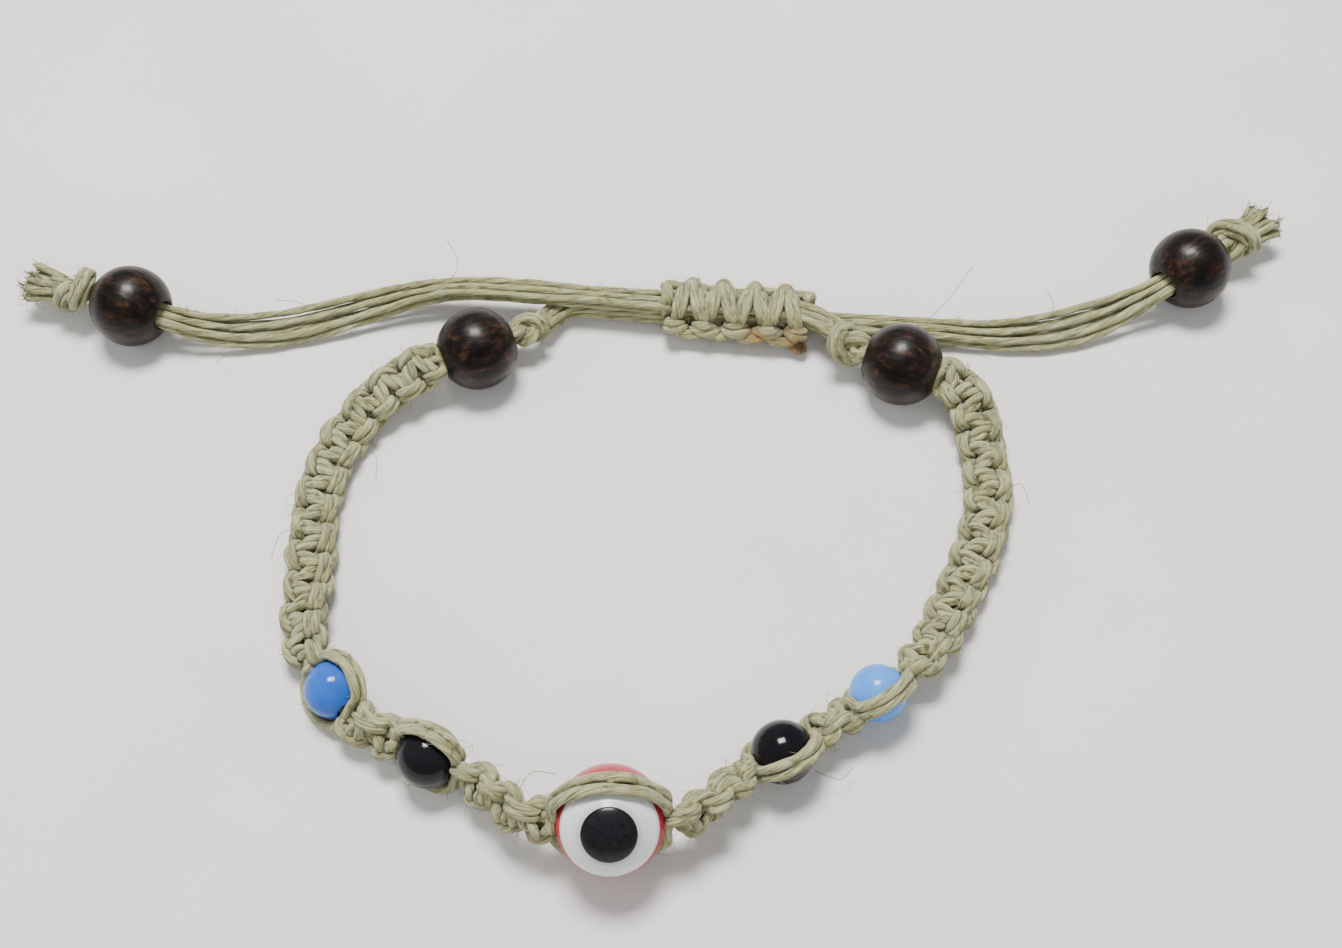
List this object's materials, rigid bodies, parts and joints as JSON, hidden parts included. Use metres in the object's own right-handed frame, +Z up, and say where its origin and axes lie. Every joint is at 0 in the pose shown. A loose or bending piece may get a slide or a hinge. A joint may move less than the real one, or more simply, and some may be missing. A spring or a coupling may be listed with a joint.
{
  "type": "macrame bead bracelet",
  "caption": "Knotted hemp bracelet with a red evil-eye bead in front, glass and wooden beads, and a sliding knot that closes the loop over two beaded tails.",
  "frame": {"origin": "middle of the wrist loop, on the surface that the bracelet lies on", "axes": "+X along the closure, to the right-hand tail; +Y from the eye bead at the front to the closure at the back; +Z up from the surface"},
  "size_m": [0.1339, 0.0813, 0.0119],
  "materials": {
    "hemp": "natural twisted hemp, matt",
    "singed_hemp": "hemp singed brown",
    "dark_wood": "dark stained wood, varnished",
    "eye_red": "translucent red resin, polished",
    "eye_white": "white resin, polished",
    "eye_black": "black resin, polished",
    "black_glass": "opaque black glass, polished",
    "blue_glass_left": "opaque blue glass, polished",
    "blue_glass_right": "opaque light blue glass, polished"
  },
  "bodies": {
    "front_band": {"core_strands_front": "hemp", "knots_eye_to_black_left": "hemp", "knots_eye_to_black_right": "hemp", "knots_black_to_blue_right": "hemp", "cords_round_eye_bead": "hemp", "cords_round_black_bead_left": "hemp", "cords_round_black_bead_right": "hemp", "cords_round_blue_bead_right": "hemp"},
    "left_band": {"core_strands_left": "hemp", "knots_black_to_blue_left": "hemp", "cords_round_blue_bead_left": "hemp", "side_knots_left": "hemp", "strands_in_inner_bead_left": "hemp", "inner_knot_left": "hemp"},
    "right_band": {"core_strands_right": "hemp", "side_knots_right": "hemp", "strands_in_inner_bead_right": "hemp", "inner_knot_right": "hemp"},
    "right_tail": {"right_tail_strand_1": "hemp", "right_tail_strand_2": "hemp", "right_tail_strand_3": "hemp", "right_tail_strand_4": "hemp", "right_tail_strand_5": "hemp", "right_tail_strand_6": "hemp", "end_knot_right": "hemp"},
    "left_tail": {"left_tail_strand_1": "hemp", "left_tail_strand_2": "hemp", "left_tail_strand_3": "hemp", "left_tail_strand_4": "hemp", "left_tail_strand_5": "hemp", "left_tail_strand_6": "hemp", "end_knot_left": "hemp"},
    "sliding_knot": {"sliding_knot": "hemp", "sliding_knot_cord_ends": "singed_hemp"},
    "eye_bead": {"eye_bead_body": "eye_red", "eye_white_ring": "eye_white", "eye_pupil": "eye_black"},
    "black_bead_left": {"black_bead_left": "black_glass"},
    "black_bead_right": {"black_bead_right": "black_glass"},
    "blue_bead_left": {"blue_bead_left": "blue_glass_left"},
    "blue_bead_right": {"blue_bead_right": "blue_glass_right"},
    "inner_wood_bead_left": {"inner_wood_bead_left": "dark_wood"},
    "inner_wood_bead_right": {"inner_wood_bead_right": "dark_wood"},
    "end_wood_bead_left": {"end_wood_bead_left": "dark_wood"},
    "end_wood_bead_right": {"end_wood_bead_right": "dark_wood"}
  },
  "joints": [
    {"name": "loop_opening", "type": "hinge", "parent": "front_band", "child": "left_band", "pos_m": [-0.0184, -0.0209, 0.0038], "axis": [0, 0, 1], "range_deg": [-1.5, 4]},
    {"name": "loop_opening_right", "type": "hinge", "parent": "front_band", "child": "right_band", "pos_m": [0.0226, -0.0108, 0.00316], "axis": [0, 0, 1], "range_deg": [-4, 1.5]},
    {"name": "right_tail_turn", "type": "hinge", "parent": "left_band", "child": "right_tail", "pos_m": [-0.01527, 0.02712, 0.0035], "axis": [0, 0, 1], "range_deg": [-4, 1.5]},
    {"name": "left_tail_turn", "type": "hinge", "parent": "right_band", "child": "left_tail", "pos_m": [0.01839, 0.02792, 0.00385], "axis": [0, 0, 1], "range_deg": [-1.5, 4]},
    {"name": "sliding_knot_slide", "type": "slide", "parent": "left_tail", "child": "sliding_knot", "axis": [1, 0, 0], "range_m": [-0.008, 0.0003]},
    {"name": "eye_bead_spin", "type": "hinge", "parent": "front_band", "child": "eye_bead", "pos_m": [-0.001, -0.0262, 0.00581], "axis": [0.9945, 0.1045, 0], "continuous": true},
    {"name": "black_bead_left_spin", "type": "hinge", "parent": "front_band", "child": "black_bead_left", "pos_m": [-0.0184, -0.0209, 0.0038], "axis": [0.9272, -0.3746, 0], "continuous": true},
    {"name": "black_bead_right_spin", "type": "hinge", "parent": "front_band", "child": "black_bead_right", "pos_m": [0.014, -0.0174, 0.00306], "axis": [0.809, 0.5878, 0], "continuous": true},
    {"name": "blue_bead_left_spin", "type": "hinge", "parent": "left_band", "child": "blue_bead_left", "pos_m": [-0.0285, -0.0148, 0.00291], "axis": [0.6691, -0.7431, 0], "continuous": true},
    {"name": "blue_bead_right_spin", "type": "hinge", "parent": "front_band", "child": "blue_bead_right", "pos_m": [0.0226, -0.0108, 0.00316], "axis": [0.7547, 0.6561, 0], "continuous": true},
    {"name": "inner_wood_bead_left_spin", "type": "hinge", "parent": "left_band", "child": "inner_wood_bead_left", "pos_m": [-0.0202, 0.0238, 0.00425], "axis": [-0.8829, -0.4695, 0], "continuous": true},
    {"name": "inner_wood_bead_right_spin", "type": "hinge", "parent": "right_band", "child": "inner_wood_bead_right", "pos_m": [0.0239, 0.0257, 0.00425], "axis": [-0.9613, 0.2756, 0], "continuous": true},
    {"name": "end_wood_bead_left_spin", "type": "hinge", "parent": "left_tail", "child": "end_wood_bead_left", "pos_m": [-0.05737, 0.02601, 0.00425], "axis": [-0.9703, 0.2419, 0], "continuous": true},
    {"name": "end_wood_bead_right_spin", "type": "hinge", "parent": "right_tail", "child": "end_wood_bead_right", "pos_m": [0.05429, 0.04071, 0.00425], "axis": [0.7431, 0.6691, 0], "continuous": true}
  ],
  "couplings": [
    {"joint": "loop_opening_right", "follows": "loop_opening", "ratio": -1},
    {"joint": "right_tail_turn", "follows": "loop_opening", "ratio": -1},
    {"joint": "left_tail_turn", "follows": "loop_opening", "ratio": 1}
  ]
}
